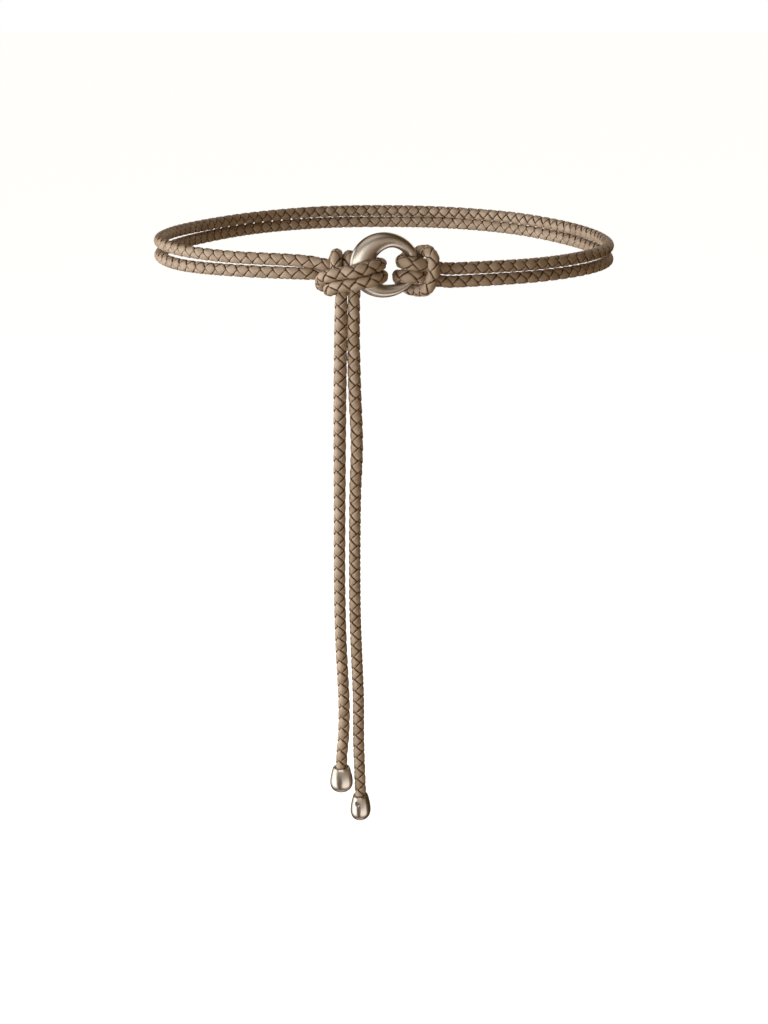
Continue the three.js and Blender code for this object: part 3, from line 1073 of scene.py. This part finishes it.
def cap_mesh():
    outside = []
    for row in range(1, cap_rows + 1):
        share = row / cap_rows
        if share < 0.5:
            drop = 1 - (1 - widest_drop) * (1 - math.cos(math.pi * share))
        else:
            drop = widest_drop * (2 - 2 * share)
        if drop * cap_height > rim_rows[0][1]:
            outside.append((cap_radius(drop), -drop * cap_height))
    rows = []
    angle = 2 * math.pi * np.arange(cap_sides) / cap_sides
    round_way = np.stack([np.cos(angle), np.sin(angle), 0 * angle], axis=1)
    pressed = np.array([1, cap_breadth / cap_width, 1])
    up = np.array([0, 0, 1])
    for radius, height in outside:
        rows.append(round_way * radius * pressed + up * height)
    outer_rim = round_way * rim_width / 2 * pressed
    inner_rim = round_way * socket_radius
    for inward, deep in rim_rows:
        rows.append(outer_rim + (inner_rim - outer_rim) * inward - up * deep)
    for deep in socket_rows:
        rows.append(inner_rim - up * deep)
    skin = [tuple(point) for row in rows for point in row]
    points = [(0, 0, -cap_height), *skin, (0, 0, -socket_depth)]
    faces = []
    for side in range(cap_sides):
        beside = (side + 1) % cap_sides
        faces.append((0, 1 + beside, 1 + side))
        for row in range(len(rows) - 1):
            low = 1 + row * cap_sides
            faces.append((low + side, low + beside, low + cap_sides + beside, low + cap_sides + side))
        last = 1 + (len(rows) - 1) * cap_sides
        faces.append((last + side, last + beside, len(points) - 1))
    mesh = bpy.data.meshes.new("cap")
    mesh.from_pydata(points, [], faces)
    return outward(mesh)


# %% Cutters and screws
def lathe_along_x(name, profile, sides, axis_height):
    """A closed turned form along X, from rows of (place along X, radius)."""
    points, faces = [], []
    for along, radius in profile:
        for side in range(sides):
            angle = 2 * math.pi * side / sides
            points.append((along, radius * math.cos(angle), axis_height + radius * math.sin(angle)))
    for row in range(len(profile) - 1):
        for side in range(sides):
            beside = (side + 1) % sides
            low = row * sides
            faces.append((low + side, low + beside, low + sides + beside, low + sides + side))
    faces.append(tuple(range(sides)))
    faces.append(tuple(range((len(profile) - 1) * sides, len(profile) * sides)))
    mesh = bpy.data.meshes.new(name)
    mesh.from_pydata(points, [], faces)
    return outward(mesh)


def cut_from(mesh, cutter_mesh):
    """The mesh with the cutter taken out of it, as a plain mesh."""
    body = bpy.data.objects.new("cut_body", mesh)
    cutter = bpy.data.objects.new("cutter", cutter_mesh)
    for thing in (body, cutter):
        bpy.context.scene.collection.objects.link(thing)
    boolean = body.modifiers.new("cut", "BOOLEAN")
    boolean.operation = "DIFFERENCE"
    boolean.solver = "EXACT"
    boolean.object = cutter
    result = bpy.data.meshes.new_from_object(body.evaluated_get(bpy.context.evaluated_depsgraph_get()))
    for thing in (body, cutter):
        bpy.data.objects.remove(thing)
    return result


crease = math.radians(32)
turned_sides = 48
key_sides = 6
bore_run_in = 0.001
bore_radius = screw_width / 2 + clearance
bore_face = cap_radius(screw_drop / cap_height)
chamfer = 0.0003
bore_profile = [
    (socket_radius - bore_run_in, bore_radius),
    (bore_face - chamfer, bore_radius),
    (bore_face + chamfer, bore_radius + 2 * chamfer),
    (cap_width, bore_radius + 2 * chamfer),
]
screw_bevel = 0.00015
screw_profile = [
    (socket_radius, screw_width / 2 - screw_bevel),
    (socket_radius + screw_bevel, screw_width / 2),
    (socket_radius + screw_length - screw_bevel, screw_width / 2),
    (socket_radius + screw_length, screw_width / 2 - screw_bevel),
]
key_profile = [(socket_radius + screw_length / 2, screw_key / 2), (cap_width, screw_key / 2)]


def placed(mesh, name, facing, end):
    """The mesh turned to face its way and moved onto the end of its tail, with crisp creases."""
    turn = math.radians(facing)
    rim = end + np.array([0, 0, socket_depth - clearance])
    for vertex in mesh.vertices:
        x, y, z = vertex.co
        vertex.co = (
            rim[0] + x * math.cos(turn) - y * math.sin(turn),
            rim[1] + x * math.sin(turn) + y * math.cos(turn),
            rim[2] + z,
        )
    mesh.name = name
    mesh.polygons.foreach_set("use_smooth", [True] * len(mesh.polygons))
    mesh.set_sharp_from_angle(angle=crease)
    return mesh


for side, facing, end in (("left", left_facing, route[0]), ("right", right_facing, route[-1])):
    cap = cut_from(cap_mesh(), lathe_along_x("bore", bore_profile, turned_sides, -screw_drop))
    blank = lathe_along_x("grub", screw_profile, turned_sides, -screw_drop)
    grub = cut_from(blank, lathe_along_x("key", key_profile, key_sides, -screw_drop))
    finished("cap_" + side, placed(cap, "cap_" + side, facing, end), "tip_" + side, nickel)
    grub_name = "grub_screw_" + side
    finished(grub_name, placed(grub, grub_name, facing, end), "tip_screw_" + side, screw_steel)

# %% [markdown]
# The two tails hang free. The indices of each tail's stretch are put in order from the tie down to its end
# inside the cap, and nothing more is done with them.

for side in ("left", "right"):
    indices = stretches["tail_" + side]
    if side == "left":
        indices = indices[::-1]

# %% [markdown]
# The studio is a wide white floor and a set of soft lights. The floor is far below and only has to look
# white, so it glows a little by itself, and it throws no light up at the belt: the photo has shade there.

# %% Floor
floor_height = -0.9
floor_size = 80


def pale_floor():
    mesh = bpy.data.meshes.new("floor")
    half = floor_size / 2
    corners = [(x * half, y * half, floor_height) for x, y in ((-1, -1), (1, -1), (1, 1), (-1, 1))]
    mesh.from_pydata(corners, [], [(0, 1, 2, 3)])
    floor = bpy.data.objects.new("floor", mesh)
    bpy.context.scene.collection.objects.link(floor)
    material, nodes, links = new_material("pale_floor")
    shader = nodes["Principled BSDF"]
    shader.inputs["Base Color"].default_value = (0.9, 0.9, 0.9, 1)
    shader.inputs["Roughness"].default_value = 0.9
    shader.inputs["Emission Color"].default_value = (1, 1, 1, 1)
    shader.inputs["Emission Strength"].default_value = 0.95
    mesh.materials.append(material)
    floor.visible_diffuse = False
    floor.visible_glossy = False
    floor.visible_shadow = False


pale_floor()

# %% [markdown]
# Leather and metal want different light. Leather shows its colour where light falls on it, and metal shows
# only what it mirrors. So some lights act on the leather alone and some on the metal alone, and each finish
# gets the soft boxes that suit it. The key light stands far to the left, so the belt's right side lies in
# warm shade, and small lights close to the ring and the caps draw the bands on them.

# %% Lights
glow_per_area = 4
belt_front = Vector((0, -0.1, -0.1))
ring_front = Vector((0, -0.1, 0.005))
caps_front = Vector((-0.02, -0.1, -0.32))


def soft_light(name, left, up, distance, size, brightness, colour, middle=belt_front, lit="both"):
    """A soft box, this many degrees to the left of the front and up, that glows with this brightness."""
    azimuth, height = math.radians(left), math.radians(up)
    level_part = math.cos(height)
    way = Vector((-math.sin(azimuth) * level_part, -math.cos(azimuth) * level_part, math.sin(height)))
    data = bpy.data.lights.new(name, "AREA")
    data.shape = "RECTANGLE"
    data.size, data.size_y = size
    data.energy = brightness * glow_per_area * size[0] * size[1]
    data.color = colour
    light = bpy.data.objects.new(name, data)
    light.location = middle + way * distance
    light.rotation_euler = way.to_track_quat("Z", "Y").to_euler()
    light.visible_camera = False
    light.visible_diffuse = lit != "metal"
    light.visible_glossy = lit != "leather"
    bpy.context.scene.collection.objects.link(light)


soft_light("key", 78, 4, 2.2, (3, 3.2), 1.9, (0.98, 1, 1.04), lit="leather")
soft_light("key_glow", 82, 0, 2.2, (3, 3), 1.45, (1, 0.98, 0.96), lit="metal")
soft_light("front", 20, -2, 2.2, (2, 0.8), 1.45, (1, 0.89, 0.75), lit="leather")
soft_light("face_glow", 5, -7, 0.7, (0.8, 0.3), 2.3, (1, 0.97, 0.94), ring_front, "metal")
soft_light("right", -46, -3, 2.2, (1.2, 0.8), 0.26, (1, 0.68, 0.36))
soft_light("low_right", -44, -28, 0.6, (0.74, 0.34), 1.35, (1, 0.93, 0.88), caps_front, "metal")
soft_light("low_warm", -44, -28, 0.9, (1.1, 0.5), 0.5, (1, 0.8, 0.56), caps_front, "leather")
soft_light("low_left", 60, -28, 0.6, (0.5, 0.36), 1.15, (1, 0.98, 0.95), caps_front, "metal")
soft_light("below", 0, -88, 0.6, (0.5, 0.5), 0.45, (1, 0.95, 0.88), caps_front)
soft_light("top", 20, 80, 2, (1.2, 1.2), 0.3, (1, 0.88, 0.72))
soft_light("top_glow", 0, 42, 2, (1.8, 1.4), 0.65, (1, 0.93, 0.86), lit="metal")
soft_light("back", -150, 25, 2.2, (1.6, 1.6), 0.9, (1, 0.92, 0.82))

# %% [markdown]
# The room around is white where the camera looks at it, and a dim warm brown for everything else, which
# gives the shade its colour.

# %% World
world = bpy.data.worlds.new("studio")
bpy.context.scene.world = world
world.use_nodes = True
nodes, links = world.node_tree.nodes, world.node_tree.links
around = nodes["Background"]
around.inputs["Color"].default_value = (0.078, 0.047, 0.018, 1)
white = nodes.new("ShaderNodeBackground")
white.inputs["Color"].default_value = (1, 1, 1, 1)
seen = nodes.new("ShaderNodeLightPath")
choice = nodes.new("ShaderNodeMixShader")
links.new(seen.outputs["Is Camera Ray"], choice.inputs["Fac"])
links.new(around.outputs["Background"], choice.inputs[1])
links.new(white.outputs["Background"], choice.inputs[2])
links.new(choice.outputs["Shader"], nodes["World Output"].inputs["Surface"])
bpy.context.scene.view_settings.view_transform = "Standard"
print("World:", world.name)
